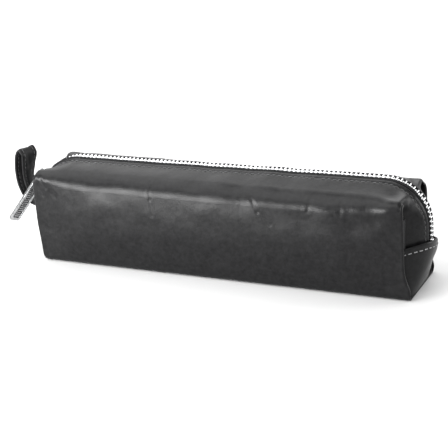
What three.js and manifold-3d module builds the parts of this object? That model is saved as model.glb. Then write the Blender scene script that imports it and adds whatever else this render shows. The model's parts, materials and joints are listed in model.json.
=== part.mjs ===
// Soft leather fountain pen case with a zip over its top and both ends.
// Millimetres, +Z up. X runs along the case, -Y is the front, and the origin is the
// centre of the flat base. The wrapped panel, the zip flaps and the end pieces are
// sheets of leather; the zip is built from tapes, tooth rows, stops, slider and pull.

import * as THREE from 'three';

// ---- Driving dimensions -------------------------------------------------------

const PANEL_LENGTH = 210;          // between the corner pleats
const CASE_DEPTH = 42;             // front wall to back wall
const BASE_RADIUS = 3;             // rounding between the base and the walls
const RIDGE_RADIUS = 10;           // rounding between a wall and its zip flap
const RIDGE_CORNER_Z = 50.2;       // where they would meet without it
const FLAP_SLOPE = THREE.MathUtils.degToRad(19.5);
const LEATHER = 1.2;
const LINING = 0.5;
const GAP = 0.4;                   // between neighbouring solids

const ZIP_TOP_Z = 55.5;            // the chain's middle plane along the top
const ZIP_END_X = 111.9;           // and down the ends
const LEFT_ARC_RADIUS = 27.4;      // of the chain's arc between them; the right end is squarer
const RIGHT_ARC_RADIUS = 22.5;
const ZIP_OPENING = 4;             // from the chain's middle to the leather's edge
const LIP_HALF = 77;               // the flaps between -LIP_HALF and LIP_HALF open
const TOOTH_PITCH = 2.4;
const TOOTH_WIDTH = 0.9;
const CHAIN_THICKNESS = 2.3;
const CORD_INNER = 1.9;            // the cord that carries the teeth, from the middle out
const CORD_OUTER = 2.7;
const TAPE_INNER = 3.7;          // measured on the leather's face over it
const TAPE = 0.5;
const TAPE_WIDTH = 8;

const SEAM_Z = 24;                 // lower edge of the end flaps
const RIGHT_ROW_END_Z = 24.2;      // where the tooth rows stop at the right end
const END_PIECE_TOP = 26.5;        // upper edge of the end pieces, which lap over them
const PLEAT_X = 107;               // the end flaps' outer face at the pleats
const PLEAT_Y = 20.4;

const SLIDER_ANGLE = THREE.MathUtils.degToRad(63);  // from the top of the left arc
const PULL_LENGTH = 35.3;
const PULL_WIDTH = 6.5;
const PULL_THICKNESS = 1.6;
const PULL_DIRECTION = new THREE.Vector3(-21.5, -3, -27.8).normalize();
const PULL_TWIST = THREE.MathUtils.degToRad(15);

const LOOP_FRONT_Y = 3.2;          // the hanging loop's front edge
const LOOP_THICKNESS = 1.4;
const LOOP_BASE_WIDTH = 7;
const LOOP_TOP_WIDTH = 11;
const LOOP_TWIST = Math.tan(THREE.MathUtils.degToRad(17));

// ---- Worked out from them -----------------------------------------------------

const panelHalf = PANEL_LENGTH / 2;
const wallY = CASE_DEPTH / 2;
const ridgeEdgeY = wallY - RIDGE_RADIUS * (1 - Math.sin(FLAP_SLOPE));
const flapOuterY = ridgeEdgeY - 1.6 * GAP;
const flapLevel = (y) => RIDGE_CORNER_Z + (wallY - y) * Math.tan(FLAP_SLOPE);
const leatherRise = flapLevel(ZIP_OPENING) - ZIP_TOP_Z;   // leather edge over the chain's middle

// The chain's arc over an end: its centre, and the runs before it and round it.
function zipArc(radius) {
  const x = ZIP_END_X - radius;
  return { radius, x, z: ZIP_TOP_Z - radius, straight: x - LIP_HALF, run: radius * Math.PI / 2 };
}
const leftArc = zipArc(LEFT_ARC_RADIUS);
const rightArc = zipArc(RIGHT_ARC_RADIUS);
const arcAt = (xSign) => (xSign < 0 ? leftArc : rightArc);

const leather = new THREE.MeshStandardMaterial({ color: 0x232324, roughness: 0.42, metalness: 0 });
const fabric = new THREE.MeshStandardMaterial({ color: 0x1b1b1c, roughness: 0.9, metalness: 0 });
const tapeCloth = new THREE.MeshStandardMaterial({ color: 0x131314, roughness: 0.85, metalness: 0 });
const nickel = new THREE.MeshStandardMaterial({ color: 0xc9cacb, roughness: 0.25, metalness: 1 });

const fountainPenCase = new THREE.Group();

// ---- Helpers ------------------------------------------------------------------

// Turns every triangle over when the closed shape is inside out.
function facingOut(geometry) {
  const solid = geometry.index ? geometry.toNonIndexed() : geometry;
  const position = solid.attributes.position;
  const [a, b, c] = [new THREE.Vector3(), new THREE.Vector3(), new THREE.Vector3()];
  let volume = 0;
  for (let i = 0; i < position.count; i += 3) {
    a.fromBufferAttribute(position, i);
    b.fromBufferAttribute(position, i + 1);
    c.fromBufferAttribute(position, i + 2);
    volume += a.dot(b.cross(c));
  }
  if (volume < 0) {
    for (let i = 0; i < position.count; i += 3) {
      b.fromBufferAttribute(position, i + 1);
      c.fromBufferAttribute(position, i + 2);
      position.setXYZ(i + 1, c.x, c.y, c.z);
      position.setXYZ(i + 2, b.x, b.y, b.z);
    }
  }
  solid.computeVertexNormals();
  return solid;
}

function addPiece(name, geometry, material) {
  const mesh = new THREE.Mesh(facingOut(geometry), material);
  mesh.name = name;
  fountainPenCase.add(mesh);
  return mesh;
}

// Moves each vertex of a geometry to place(x, y, z).
function reshape(geometry, place) {
  const position = geometry.attributes.position;
  for (let i = 0; i < position.count; i += 1) {
    const p = place(position.getX(i), position.getY(i), position.getZ(i));
    position.setXYZ(i, p.x, p.y, p.z);
  }
  return geometry;
}

// A sheet whose outer face is surface(u, v), with u from 0 to 1 and v from v0 to v1.
// It fills the depths from `near` to `far` under that face.
function sheet(surface, [uSteps, vSteps], [v0, v1], [near, far]) {
  const step = 1e-3;
  const heart = new THREE.Vector3();
  const box = new THREE.BoxGeometry(1, 1, 1, uSteps, vSteps, 1);
  return reshape(box, (bx, by, bz) => {
    const u = bx + 0.5;
    const v = THREE.MathUtils.lerp(v0, v1, by + 0.5);
    const here = surface(u, v);
    const alongU = surface(u + step, v).sub(surface(u - step, v));
    const alongV = surface(u, v + step).sub(surface(u, v - step));
    const normal = alongU.cross(alongV).normalize();
    heart.set(here.x * 0.6, 0, here.z * 0.5);
    if (normal.dot(here.clone().sub(heart)) < 0) normal.negate();
    return here.addScaledVector(normal, -(bz > 0 ? near : far));
  });
}

// The chain's path over an end: s millimetres from the opening flaps' end, over the
// straight run, round the corner arc and straight down, `lift` outside the middle plane.
function alongZip(arc, s, lift) {
  if (s < arc.straight) return { x: LIP_HALF + s, z: ZIP_TOP_Z + lift };
  const angle = Math.min((s - arc.straight) / arc.radius, Math.PI / 2);
  const drop = Math.max(s - arc.straight - arc.run, 0);
  return {
    x: arc.x + (arc.radius + lift) * Math.sin(angle),
    z: arc.z + (arc.radius + lift) * Math.cos(angle) - drop,
  };
}

// ---- The wrapped panel and its lining -----------------------------------------

// Half of a channel's outline, from the base's middle to the top of the front wall.
function halfOutline(inset, top, hasRidge) {
  const y = wallY - inset;
  const radius = BASE_RADIUS - inset;
  const points = [new THREE.Vector2(0, inset)];
  const base = new THREE.Path().absarc(-(y - radius), inset + radius, radius, -Math.PI / 2, -Math.PI, true);
  points.push(...base.getPoints(6));
  if (!hasRidge) return [...points, new THREE.Vector2(-y, top)];
  const ridgeCentreZ = flapLevel(ridgeEdgeY) - RIDGE_RADIUS * Math.cos(FLAP_SLOPE);
  const ridge = new THREE.Path().absarc(
    -(wallY - RIDGE_RADIUS), ridgeCentreZ, RIDGE_RADIUS - inset, -Math.PI, -Math.PI * 1.5 + FLAP_SLOPE, true);
  return [...points, ...ridge.getPoints(6)];
}

const mirrored = (points) => points.map((p) => new THREE.Vector2(-p.x, p.y)).reverse();

function extrudeAlongX(outline, length) {
  const solid = new THREE.ExtrudeGeometry(new THREE.Shape(outline), { depth: length, bevelEnabled: false });
  return reshape(solid, (y, z, x) => ({ x: x - length / 2, y, z }));
}

function channel(length, inset, thickness, top, hasRidge) {
  const outer = halfOutline(inset, top, hasRidge);
  const inner = halfOutline(inset + thickness, top, hasRidge).reverse();
  const outline = [...mirrored(outer.slice(1)), ...outer, ...inner.slice(0, -1), ...mirrored(inner)];
  return extrudeAlongX(outline, length);
}

const liningInset = LEATHER + 0.3;
const liningLength = PANEL_LENGTH - 5;
addPiece('body_panel', channel(PANEL_LENGTH, 0, LEATHER, 0, true), leather);
addPiece('body_lining', channel(liningLength, liningInset, LINING, 41.5, false), fabric);

const endLiningTop = 41;
const endLiningX = liningLength / 2 + GAP + LINING / 2;
for (const [side, sign] of [['left', -1], ['right', 1]]) {
  const outline = halfOutline(liningInset + 0.3, endLiningTop, false);
  const panel = extrudeAlongX([...mirrored(outline.slice(1)), ...outline], LINING);
  addPiece(`${side}_end_lining`, panel.translate(sign * endLiningX, 0, 0), fabric);
}

// ---- Flaps, tapes and tooth rows ----------------------------------------------

// The leather face of a zip flap between the ends. v is 0 at the zip and 1 at the ridge.
function flapSurface(sign) {
  return (u, v) => {
    const y = THREE.MathUtils.lerp(ZIP_OPENING, flapOuterY, v);
    return new THREE.Vector3(THREE.MathUtils.lerp(-LIP_HALF, LIP_HALF, u), sign * y, flapLevel(y));
  };
}

// The leather face over one end's quarter: from the zip to the ridge, the ear and the pleat.
const earRadius = 5;
const ridgeRun = PLEAT_X - earRadius - LIP_HALF - GAP;
const earRun = earRadius * Math.PI / 2;
const pleatRun = flapLevel(flapOuterY) - earRadius - SEAM_Z;

function alongRidge(t) {
  const s = t * (ridgeRun + earRun + pleatRun);
  const ridgeZ = flapLevel(flapOuterY);
  if (s < ridgeRun) return new THREE.Vector3(LIP_HALF + GAP + s, flapOuterY, ridgeZ);
  const angle = Math.min((s - ridgeRun) / earRadius, Math.PI / 2);
  const drop = Math.max(s - ridgeRun - earRun, 0);
  return new THREE.Vector3(
    PLEAT_X - earRadius * (1 - Math.sin(angle)),
    THREE.MathUtils.lerp(flapOuterY, PLEAT_Y, Math.min(drop / earRadius, 1)),
    ridgeZ - earRadius * (1 - Math.cos(angle)) - drop);
}

function endFlapSurface(xSign, ySign) {
  const arc = arcAt(xSign);
  const zipRun = arc.straight - GAP + arc.run + arc.z - SEAM_Z;
  return (u, v) => {
    const t = THREE.MathUtils.clamp(u, 0, 1);
    const zip = alongZip(arc, GAP + t * zipRun, leatherRise);
    const point = new THREE.Vector3(zip.x, ZIP_OPENING, zip.z).lerp(alongRidge(t), v);
    point.x += u - t;
    return new THREE.Vector3(xSign * point.x, ySign * point.y, point.z);
  };
}

// A solid one layer thick, made of the filled cells of a grid of columns and rows.
function gridSolid(xs, ys, [z0, z1], isFilled) {
  const corners = [];
  const quad = (a, b, c, d) => corners.push(...a, ...b, ...c, ...a, ...c, ...d);
  const inGrid = (i, j) => i >= 0 && j >= 0 && i < xs.length - 1 && j < ys.length - 1;
  const filled = (i, j) => inGrid(i, j) && isFilled(i, j);
  for (let i = 0; i < xs.length - 1; i += 1) {
    for (let j = 0; j < ys.length - 1; j += 1) {
      if (!filled(i, j)) continue;
      const [x0, x1, y0, y1] = [xs[i], xs[i + 1], ys[j], ys[j + 1]];
      quad([x0, y0, z1], [x1, y0, z1], [x1, y1, z1], [x0, y1, z1]);
      quad([x0, y0, z0], [x0, y1, z0], [x1, y1, z0], [x1, y0, z0]);
      if (!filled(i - 1, j)) quad([x0, y0, z0], [x0, y0, z1], [x0, y1, z1], [x0, y1, z0]);
      if (!filled(i + 1, j)) quad([x1, y0, z0], [x1, y1, z0], [x1, y1, z1], [x1, y0, z1]);
      if (!filled(i, j - 1)) quad([x0, y0, z0], [x1, y0, z0], [x1, y0, z1], [x0, y0, z1]);
      if (!filled(i, j + 1)) quad([x0, y1, z0], [x0, y1, z1], [x1, y1, z1], [x1, y1, z0]);
    }
  }
  const solid = new THREE.BufferGeometry();
  return solid.setAttribute('position', new THREE.Float32BufferAttribute(corners, 3));
}

// A cord with teeth on its inner side: x along the chain, y out of its middle, z its lift.
// The front and back rows' teeth alternate and reach `tip` from the middle.
function toothRow(start, end, tip, phase) {
  const columns = [start];
  const count = Math.floor((end - start) / TOOTH_PITCH);
  for (let i = 0; i < count; i += 1) {
    const left = start + 0.15 + (phase / 2 + i) * TOOTH_PITCH;
    columns.push(left, left + TOOTH_WIDTH);
  }
  columns.push(end);
  const isFilled = (column, row) => row === 1 || column % 2 === 1;
  const lift = [-CHAIN_THICKNESS / 2, CHAIN_THICKNESS / 2];
  return gridSolid(columns, [tip, CORD_INNER, CORD_OUTER], lift, isFilled);
}

const flapWidth = flapOuterY - ZIP_OPENING;
const tapeSpan = [(TAPE_INNER - ZIP_OPENING) / flapWidth, (TAPE_INNER + TAPE_WIDTH - ZIP_OPENING) / flapWidth];
const tapeDepth = [LEATHER + 0.3, LEATHER + 0.3 + TAPE];
const liningDepth = [tapeDepth[1] + 0.3, tapeDepth[1] + 0.3 + LINING];
const sides = [['front', -1], ['back', 1]];

for (const [name, ySign] of sides) {
  const surface = flapSurface(ySign);
  addPiece(`${name}_flap`, sheet(surface, [4, 1], [0, 1], [0, LEATHER]), leather);
  addPiece(`${name}_tape`, sheet(surface, [4, 1], tapeSpan, tapeDepth), tapeCloth);
  addPiece(`${name}_flap_lining`, sheet(surface, [4, 1], [0.3, 0.92], liningDepth), fabric);
  const row = toothRow(-LIP_HALF, LIP_HALF, -0.4, ySign < 0 ? 0 : 1);
  addPiece(`${name}_teeth`, reshape(row, (s, q, lift) => ({ x: s, y: ySign * q, z: ZIP_TOP_Z + lift })), nickel);
}

const sliderAlong = leftArc.straight + leftArc.radius * SLIDER_ANGLE;
const leftRowEnd = sliderAlong + 7;
const rightRowEnd = rightArc.straight + rightArc.run + rightArc.z - RIGHT_ROW_END_Z;
const ends = [['left', -1, leftRowEnd, 0.7], ['right', 1, rightRowEnd, -0.4]];

for (const [end, xSign, rowEnd, tip] of ends) {
  for (const [name, ySign] of sides) {
    const surface = endFlapSurface(xSign, ySign);
    const phase = ySign < 0 ? 0 : 1;
    addPiece(`${end}_${name}_end_flap`, sheet(surface, [26, 3], [0, 1], [0, LEATHER]), leather);
    addPiece(`${end}_${name}_end_tape`, sheet(surface, [22, 1], tapeSpan, tapeDepth), tapeCloth);
    addPiece(`${end}_${name}_end_teeth`, reshape(toothRow(GAP, rowEnd, tip, phase), (s, q, lift) => {
      const p = alongZip(arcAt(xSign), s, lift);
      return { x: xSign * p.x, y: ySign * q, z: p.z };
    }), nickel);
  }
}

// A block on the chain from s0 to s1, between y0 and y1, `lift0` to `lift1` from its middle
// plane. widthAt(t) narrows it, with t from 0 to 1 along the block.
function chainBlock(xSign, [s0, s1], [y0, y1], [lift0, lift1], steps = 2, widthAt = () => 1) {
  const box = new THREE.BoxGeometry(1, 1, 1, steps, 1, 1);
  return reshape(box, (bx, by, bz) => {
    const t = bx + 0.5;
    const lift = THREE.MathUtils.lerp(lift0, lift1, bz + 0.5);
    const p = alongZip(arcAt(xSign), THREE.MathUtils.lerp(s0, s1, t), lift);
    return { x: xSign * p.x, y: THREE.MathUtils.lerp(y0, y1, by + 0.5) * widthAt(t), z: p.z };
  });
}

const stopLift = [-CHAIN_THICKNESS / 2, CHAIN_THICKNESS / 2];
const topStopRun = [leftRowEnd + GAP, leftRowEnd + GAP + 2.6];
addPiece('front_top_stop', chainBlock(-1, topStopRun, [-CORD_OUTER, -0.5], stopLift), nickel);
addPiece('back_top_stop', chainBlock(-1, topStopRun, [0.5, CORD_OUTER], stopLift), nickel);
const bottomStopRun = [rightRowEnd + GAP, rightRowEnd + GAP + 2];
addPiece('bottom_stop', chainBlock(1, bottomStopRun, [-CORD_OUTER, CORD_OUTER], stopLift), nickel);

// ---- End pieces ---------------------------------------------------------------

const endPieceEdge = PLEAT_X + LEATHER + 0.35;
const endPieceTip = ZIP_END_X + CHAIN_THICKNESS / 2 + LEATHER + 0.4;
const endPieceFoot = panelHalf + LEATHER + 0.4;

function endPieceSurface(xSign) {
  return (u, v) => {
    const across = 2 * u - 1;
    const full = THREE.MathUtils.smoothstep(v, -0.4, 0.88);
    const crown = THREE.MathUtils.lerp(endPieceEdge, endPieceTip, 1 - across * across);
    const x = THREE.MathUtils.lerp(endPieceFoot, crown, full);
    return new THREE.Vector3(xSign * x, across * PLEAT_Y, THREE.MathUtils.lerp(0.6, END_PIECE_TOP, v));
  };
}

addPiece('left_end_piece', sheet(endPieceSurface(-1), [12, 6], [0, 1], [0, LEATHER]), leather);
addPiece('right_end_piece', sheet(endPieceSurface(1), [12, 6], [0, 1], [0, LEATHER]), leather);

// ---- Slider and pull ----------------------------------------------------------

// Two plates joined by the wedge at the nose, with a flange down each side of the chain.
const plateIn = CHAIN_THICKNESS / 2 + 0.35;
const plateOut = plateIn + 1.1;
const sliderHalf = 6;

function sliderPlate(halfWidth, lift) {
  const run = [sliderAlong - sliderHalf, sliderAlong + sliderHalf];
  const taper = (t) => 0.8 + 0.2 * THREE.MathUtils.smoothstep(t, 0.5, 0.8);
  return chainBlock(-1, run, [-halfWidth, halfWidth], lift, 8, taper);
}

async function joined(geometries) {
  const { default: Module } = await import('manifold-3d');
  const { mergeVertices } = await import('three/addons/utils/BufferGeometryUtils.js');
  const wasm = await Module();
  wasm.setup();
  const solids = geometries.map((geometry) => {
    const solid = facingOut(geometry);
    solid.deleteAttribute('normal');
    solid.deleteAttribute('uv');
    const merged = mergeVertices(solid, 1e-4);
    return new wasm.Manifold(new wasm.Mesh({
      numProp: 3,
      vertProperties: new Float32Array(merged.attributes.position.array),
      triVerts: new Uint32Array(merged.index.array),
    }));
  });
  const mesh = solids.reduce((whole, solid) => whole.add(solid)).getMesh();
  const geometry = new THREE.BufferGeometry();
  geometry.setAttribute('position', new THREE.BufferAttribute(new Float32Array(mesh.vertProperties), 3));
  geometry.setIndex(new THREE.BufferAttribute(new Uint32Array(mesh.triVerts), 1));
  return geometry;
}

const flangeRun = [sliderAlong - sliderHalf + 0.5, sliderAlong + 0.5];
const wedgeRun = [sliderAlong + sliderHalf - 2.5, sliderAlong + sliderHalf - 0.5];
const sliderBody = await joined([
  sliderPlate(4.6, [plateIn, plateOut]),
  sliderPlate(3.6, [-plateOut, -plateIn]),
  chainBlock(-1, wedgeRun, [-0.35, 0.35], [-plateIn - 0.2, plateIn + 0.2]),
  chainBlock(-1, flangeRun, [-3.6, -3], [0, plateIn + 0.2], 4),
  chainBlock(-1, flangeRun, [3, 3.6], [0, plateIn + 0.2], 4),
]);
addPiece('slider_body', sliderBody, nickel);

// The bridge over the slider that holds the pull, as a staple across (x) and up (y).
const pivotLift = 4.6;
const bridgeFoot = plateOut + 0.3;
const bridgeSpan = 5.2;
const bridgeBar = 0.9;
const bridgeTop = pivotLift + 2.2;
const staple = new THREE.Shape([
  [-bridgeSpan, bridgeFoot], [-bridgeSpan, bridgeTop - 0.8], [-bridgeSpan + 0.8, bridgeTop],
  [bridgeSpan - 0.8, bridgeTop], [bridgeSpan, bridgeTop - 0.8], [bridgeSpan, bridgeFoot],
  [bridgeSpan - bridgeBar, bridgeFoot], [bridgeSpan - bridgeBar, bridgeTop - bridgeBar],
  [-bridgeSpan + bridgeBar, bridgeTop - bridgeBar], [-bridgeSpan + bridgeBar, bridgeFoot],
].map(([s, lift]) => new THREE.Vector2(s, lift)));
const bridge = new THREE.ExtrudeGeometry(staple, { depth: 1.4, bevelEnabled: false });
const sliderCentre = new THREE.Vector3(
  -(leftArc.x + leftArc.radius * Math.sin(SLIDER_ANGLE)), 0, leftArc.z + leftArc.radius * Math.cos(SLIDER_ANGLE));
const sliderOut = new THREE.Vector3(-Math.sin(SLIDER_ANGLE), 0, Math.cos(SLIDER_ANGLE));
const sliderDown = new THREE.Vector3(-Math.cos(SLIDER_ANGLE), 0, -Math.sin(SLIDER_ANGLE));
const onSlider = (s, y, lift) => sliderCentre.clone()
  .addScaledVector(sliderDown, s).addScaledVector(sliderOut, lift).setY(y);
addPiece('slider_bridge', reshape(bridge, (s, lift, y) => onSlider(s, y - 0.7, lift)), nickel);

// The pull: a flat bar whose eye turns round the bridge, leaning a little off square.
const half = PULL_WIDTH / 2;
const pullShape = new THREE.Shape([
  [-0.6, -half + 0.6], [0.2, -half], [PULL_LENGTH - 0.8, -half], [PULL_LENGTH, -half + 0.8],
  [PULL_LENGTH, half - 0.8], [PULL_LENGTH - 0.8, half], [0.2, half], [-0.6, half - 0.6],
].map(([s, w]) => new THREE.Vector2(s, w)));
pullShape.holes.push(new THREE.Path([[0.9, -1.8], [0.9, 1.8], [7, 1.8], [7, -1.8]]
  .map(([s, w]) => new THREE.Vector2(s, w))));
const pull = new THREE.ExtrudeGeometry(pullShape, { depth: PULL_THICKNESS, bevelEnabled: false });
pull.translate(0, 0, -PULL_THICKNESS / 2);
const pullMesh = addPiece('pull_tab', pull, nickel);
const pullAcross = new THREE.Vector3(0, 1, 0).applyAxisAngle(PULL_DIRECTION, PULL_TWIST);
pullAcross.addScaledVector(PULL_DIRECTION, -pullAcross.dot(PULL_DIRECTION)).normalize();
const pullFace = PULL_DIRECTION.clone().cross(pullAcross);
pullMesh.quaternion.setFromRotationMatrix(
  new THREE.Matrix4().makeBasis(PULL_DIRECTION, pullAcross, pullFace));
pullMesh.position.copy(onSlider(0, 0, pivotLift));

// ---- Hanging loop -------------------------------------------------------------

// The strip's middle line, seen from the front: out of the seam, up, over and back down.
const loopLine = new THREE.CatmullRomCurve3([
  [-116.0, 24.8], [-121, 22.8], [-126.5, 24.6], [-130.6, 30], [-132.6, 38], [-132.6, 46], [-131.4, 52],
  [-129.3, 54.6], [-127.6, 52], [-127.8, 45], [-127.9, 38], [-125.8, 31], [-121.5, 26.6], [-116.0, 27.2],
].map(([x, z]) => new THREE.Vector3(x, 0, z)), false, 'centripetal');
const loopBaseZ = 25;
const loopTopZ = 55;

const strip = new THREE.BoxGeometry(1, 1, 1, 40, 1, 1);
addPiece('hanging_loop', reshape(strip, (bx, by, bz) => {
  const t = bx + 0.5;
  const point = loopLine.getPointAt(t);
  const tangent = loopLine.getTangentAt(t);
  const rise = THREE.MathUtils.smoothstep(point.z, loopBaseZ, loopTopZ);
  const across = (by + 0.5) * THREE.MathUtils.lerp(LOOP_BASE_WIDTH, LOOP_TOP_WIDTH, rise);
  point.x += across * LOOP_TWIST * rise - tangent.z * bz * LOOP_THICKNESS;
  point.z += tangent.x * bz * LOOP_THICKNESS;
  return { x: point.x, y: LOOP_FRONT_Y + across, z: point.z };
}), leather);

export default fountainPenCase;
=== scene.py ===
import json
import math

import bpy
import numpy as np
from mathutils import Matrix, Vector


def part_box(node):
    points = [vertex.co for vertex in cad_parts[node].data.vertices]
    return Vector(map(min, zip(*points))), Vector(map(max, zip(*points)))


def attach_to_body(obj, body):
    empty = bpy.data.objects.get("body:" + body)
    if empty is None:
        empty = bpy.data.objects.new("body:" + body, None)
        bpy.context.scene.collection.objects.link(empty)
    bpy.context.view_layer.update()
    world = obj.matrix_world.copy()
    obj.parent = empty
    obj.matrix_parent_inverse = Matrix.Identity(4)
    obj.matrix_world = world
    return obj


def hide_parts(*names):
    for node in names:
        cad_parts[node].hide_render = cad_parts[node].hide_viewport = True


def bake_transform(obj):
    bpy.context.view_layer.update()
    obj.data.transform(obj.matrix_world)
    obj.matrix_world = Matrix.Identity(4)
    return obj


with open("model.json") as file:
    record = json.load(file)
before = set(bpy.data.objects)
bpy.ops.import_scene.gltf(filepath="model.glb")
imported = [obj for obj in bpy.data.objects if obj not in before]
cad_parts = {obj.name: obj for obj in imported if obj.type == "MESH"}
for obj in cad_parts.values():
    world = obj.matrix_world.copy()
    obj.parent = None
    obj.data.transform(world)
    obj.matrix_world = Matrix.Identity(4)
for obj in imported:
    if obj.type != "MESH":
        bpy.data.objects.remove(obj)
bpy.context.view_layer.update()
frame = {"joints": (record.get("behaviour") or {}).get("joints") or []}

# Soft leather fountain pen case. Lengths are in millimetres until a mesh is made.
MM = 0.001

# ---- Driving dimensions, from the frame where it has them


def node_box(node):
    low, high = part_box(node)
    return np.array(low) / MM, np.array(high) / MM


def joint_place(name):
    joint = next(j for j in frame["joints"] if j["name"] == name)
    return np.array(joint["pos_m"]) / MM


PANEL_HALF = node_box("body_panel")[1][0]
WALL_Y = node_box("body_panel")[1][1]
HINGE_Y, HINGE_Z = -joint_place("mouth_front")[1], joint_place("mouth_front")[2]
ZIP_TOP = (node_box("front_teeth")[0][2] + node_box("front_teeth")[1][2]) / 2
LEFT_ARC_RADIUS = ZIP_TOP - joint_place("slider_travel")[2]
RIGHT_ARC_RADIUS = 22.5
ZIP_END_X = -joint_place("slider_travel")[0] + LEFT_ARC_RADIUS   # the chain going down the ends

SLOPE = math.radians(19.5)            # of the zip flaps
CORNER_Z = HINGE_Z - (WALL_Y - HINGE_Y) * math.tan(SLOPE)
RIDGE_RADIUS = 10                     # between the walls and the zip flaps
EAR_RADIUS = 4.6                      # of the ridge where the corners are pinched
BASE_RADIUS = 3                       # between the walls and the base
LEATHER = 1.2                         # thickness
ZIP_OPENING = 4.1                     # from the chain's middle to the leather's edge
LEATHER_LIFT = 0.1                    # of the leather's face there over the chain's middle plane

EAR_Y = 16.8                          # where the flap's leather meets the wall's at the ear
EAR_START = 103.4                     # where the leather starts to turn down over the ear
EAR_TURN = 1.6                        # radius of the leather's turn over the ear
CREASE_X = 103.4                      # bottom of the pleat's crease
CREASE_Y = 15.6                       # how far it is from the middle
ROLL_X = 105.3                        # where the wall rolls into the crease
ROLL_RADIUS = 1.2
ROLL_ANGLE = math.radians(200)
TOE_REACH = 1.3                       # how far the right end's lower corners stand out
PLEAT_LEAN = 2.2                      # how far its pleats lean in over those corners
LEFT_LEAN = 1.3                       # how far the left end's lower corners draw in
LEFT_TOE, LEFT_TOE_DRAW = 4, 2.2      # height and depth of their rounding
SAG, RISE = -0.2, 1.1                 # of the zip's left and right ends
BULGE = 2.2                           # of the filled front and back walls

LIP_HALF = 56                         # the flaps turn as one piece inside this
BEND_END = 84                         # and stand still outside this
FLAP_LOW_Z = 20.5                     # lower edge of the end flaps, behind the end pieces


def path_length(radius):
    """Along the zip from the case's middle to the end flaps' lower edge."""
    return ZIP_END_X + radius * (math.pi / 2 - 1) + ZIP_TOP - radius - FLAP_LOW_Z


LEFT_END, RIGHT_END = path_length(LEFT_ARC_RADIUS), path_length(RIGHT_ARC_RADIUS)

STITCH_PITCH = 3.0
STITCH_HALF = 1.05
STITCH_INSET = 2.2                    # from the leather's edge
THREAD_RADIUS = 0.26

TOOTH_PITCH = 2.4
ROW_END_LEFT = 121.4                  # along the chain from the case's middle
ROW_END_RIGHT = RIGHT_END - 3.7
SLIDER_AT = 114.63                    # its middle, also along the chain
SLIDER_HALF = 6                       # half its length

# ---- Small mathematics

HEART = np.array([0.6, 0, 0.5])       # scales a point to the inner one it faces away from


def mix(a, b, t):
    return a + (b - a) * t


def smooth(x, low, high):
    t = np.clip((x - low) / (high - low), 0, 1)
    return t * t * (3 - 2 * t)


def unit(vectors):
    return vectors / np.maximum(np.linalg.norm(vectors, axis=-1, keepdims=True), 1e-12)


def stack(x, y, z):
    return np.stack(np.broadcast_arrays(x, y, z), -1).astype(float)


def ripple(points, seed, wavelength, waves=14):
    """A smooth random field of about unit height."""
    rng = np.random.default_rng(seed)
    directions = unit(rng.normal(size=(waves, 3)))
    numbers = 2 * np.pi / (wavelength * rng.uniform(0.7, 1.5, waves))
    phases = rng.uniform(0, 2 * np.pi, waves)
    total = np.zeros(points.shape[:-1])
    for direction, number, phase in zip(directions, numbers, phases):
        total += np.sin(points @ direction * number + phase)
    return total * math.sqrt(2 / waves)


def outward_sign(points, normals):
    """1 if the normals point away from the case's middle, and -1 if towards it."""
    return 1 if np.sum(normals * (points - points * HEART)) > 0 else -1


def normals_of(surface, u, v, step=(0.02, 0.002)):
    along_u = surface(u + step[0], v) - surface(u - step[0], v)
    along_v = surface(u, v + step[1]) - surface(u, v - step[1])
    return unit(np.cross(along_u, along_v))


# ---- Meshes


def new_object(name, points, faces, material, loop_normals=None):
    mesh = bpy.data.meshes.new(name)
    mesh.from_pydata((np.asarray(points) * MM).tolist(), [], faces)
    mesh.polygons.foreach_set("use_smooth", np.ones(len(faces), bool))
    mesh.materials.append(material)
    mesh.update()
    if loop_normals is not None:
        mesh.normals_split_custom_set(loop_normals.tolist())
    piece = bpy.data.objects.new(name, mesh)
    bpy.context.scene.collection.objects.link(piece)
    return piece


class Parts:
    """Vertices and faces of one piece, added block by block."""

    def __init__(self):
        self.points, self.faces, self.count = [], [], 0

    def add(self, points, faces):
        self.points.append(np.asarray(points, float).reshape(-1, 3))
        self.faces += [tuple(index + self.count for index in face) for face in faces]
        self.count += len(self.points[-1])

    def loft(self, rings):
        """rings has the shape (rings, corners, 3); both ends are closed."""
        count, corners = rings.shape[:2]
        faces = [tuple(reversed(range(corners)))]
        for ring in range(count - 1):
            for corner in range(corners):
                beside = (corner + 1) % corners
                low, high = ring * corners, (ring + 1) * corners
                faces.append((low + corner, low + beside, high + beside, high + corner))
        faces.append(tuple(range((count - 1) * corners, count * corners)))
        self.add(rings, faces)

    def build(self, name, material):
        return new_object(name, np.concatenate(self.points), self.faces, material)


RIM_TURNS = 4


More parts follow.
